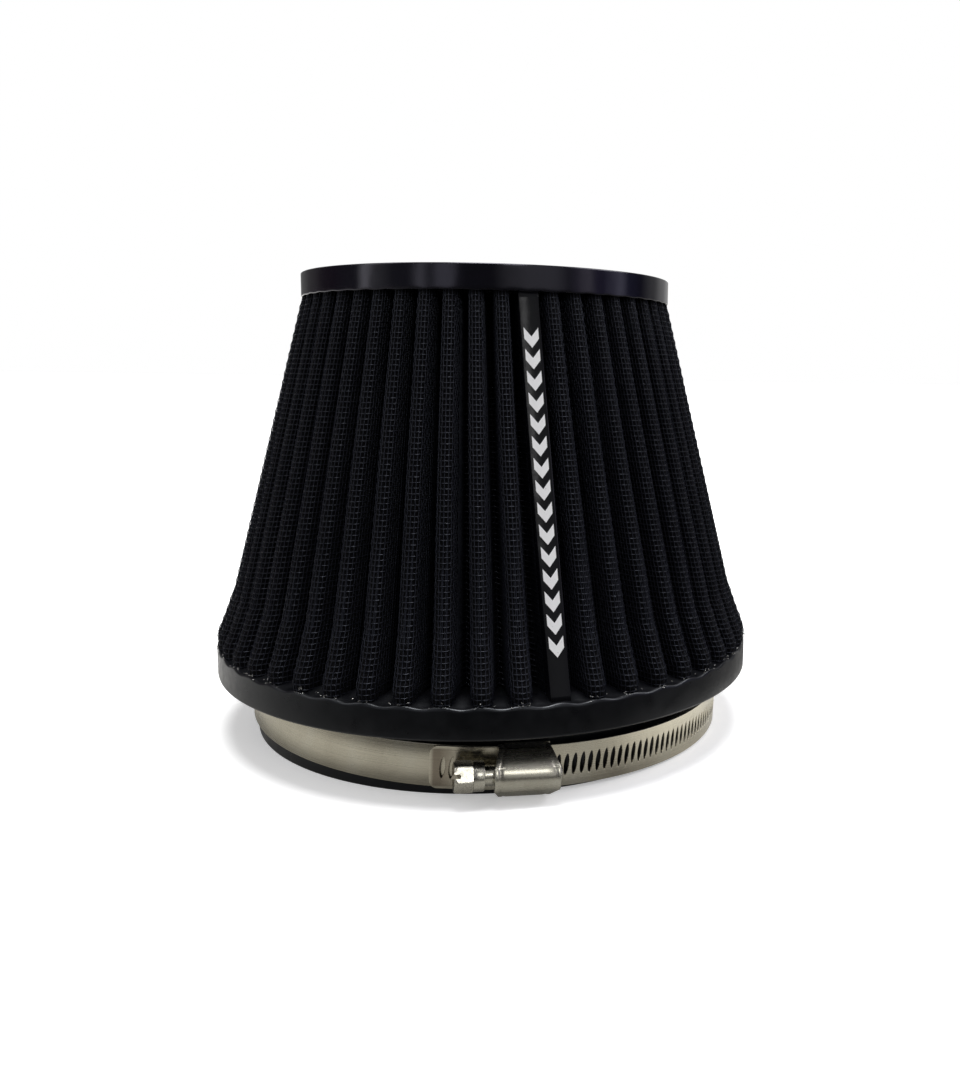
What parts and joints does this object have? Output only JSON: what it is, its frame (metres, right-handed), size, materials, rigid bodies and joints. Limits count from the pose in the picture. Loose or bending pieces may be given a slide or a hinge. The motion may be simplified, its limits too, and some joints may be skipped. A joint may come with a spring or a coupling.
{
  "type": "cone air filter",
  "caption": "Clamp-on cone air filter: pleated gauze between wire screens, moulded rubber base and neck, gloss end cap, worm-drive hose clamp.",
  "frame": {"origin": "centre of the neck's open end face, on the surface that the filter stands on", "axes": "+Z along the cone's axis towards the cap; -Y is the front, with the clamp screw's housing; +X is to the right seen from the front"},
  "size_m": [0.183, 0.183, 0.1516],
  "materials": {
    "moulded_rubber": "semi-matt moulded black",
    "gloss_cap": "gloss black",
    "potting_resin": "cast black resin",
    "coated_wire": "black epoxy-coated woven wire",
    "cotton_gauze": "black-dyed cotton gauze",
    "coated_clip": "black coated sheet",
    "gloss_label": null,
    "stainless_band": "rolled stainless strip",
    "stainless_housing": "pressed stainless sheet",
    "plated_screw": "bright zinc-plated steel"
  },
  "bodies": {
    "filter": {"base_flange": "moulded_rubber", "top_cap": "gloss_cap", "top_potting": "potting_resin", "outer_screen": "coated_wire", "gauze_media": "cotton_gauze", "inner_screen": "coated_wire", "seam_clip": "coated_clip", "label_strip": "gloss_label"},
    "clamp": {"clamp_band": "stainless_band", "clamp_saddle": "stainless_band", "clamp_housing": "stainless_housing"},
    "slotted_end": {"clamp_slotted_end": "stainless_band"},
    "screw": {"clamp_screw": "plated_screw"}
  },
  "joints": [
    {"name": "clamp_turn", "type": "hinge", "parent": "filter", "child": "clamp", "pos_m": [0.0002, 0, 0.0097], "axis": [0.032, -0.012, 0.9994], "continuous": true},
    {"name": "screw_turn", "type": "hinge", "parent": "clamp", "child": "screw", "pos_m": [0.01048, -0.08497, 0.00835], "axis": [0.9922, 0.1205, -0.0303], "range_deg": [-2160, 720]},
    {"name": "band_draw", "type": "hinge", "parent": "clamp", "child": "slotted_end", "pos_m": [0.0002, 0, 0.0097], "axis": [-0.032, 0.012, -0.9994], "range_deg": [-10.8, 3.6]}
  ],
  "couplings": [
    {"joint": "band_draw", "follows": "screw_turn", "ratio": 0.005}
  ]
}
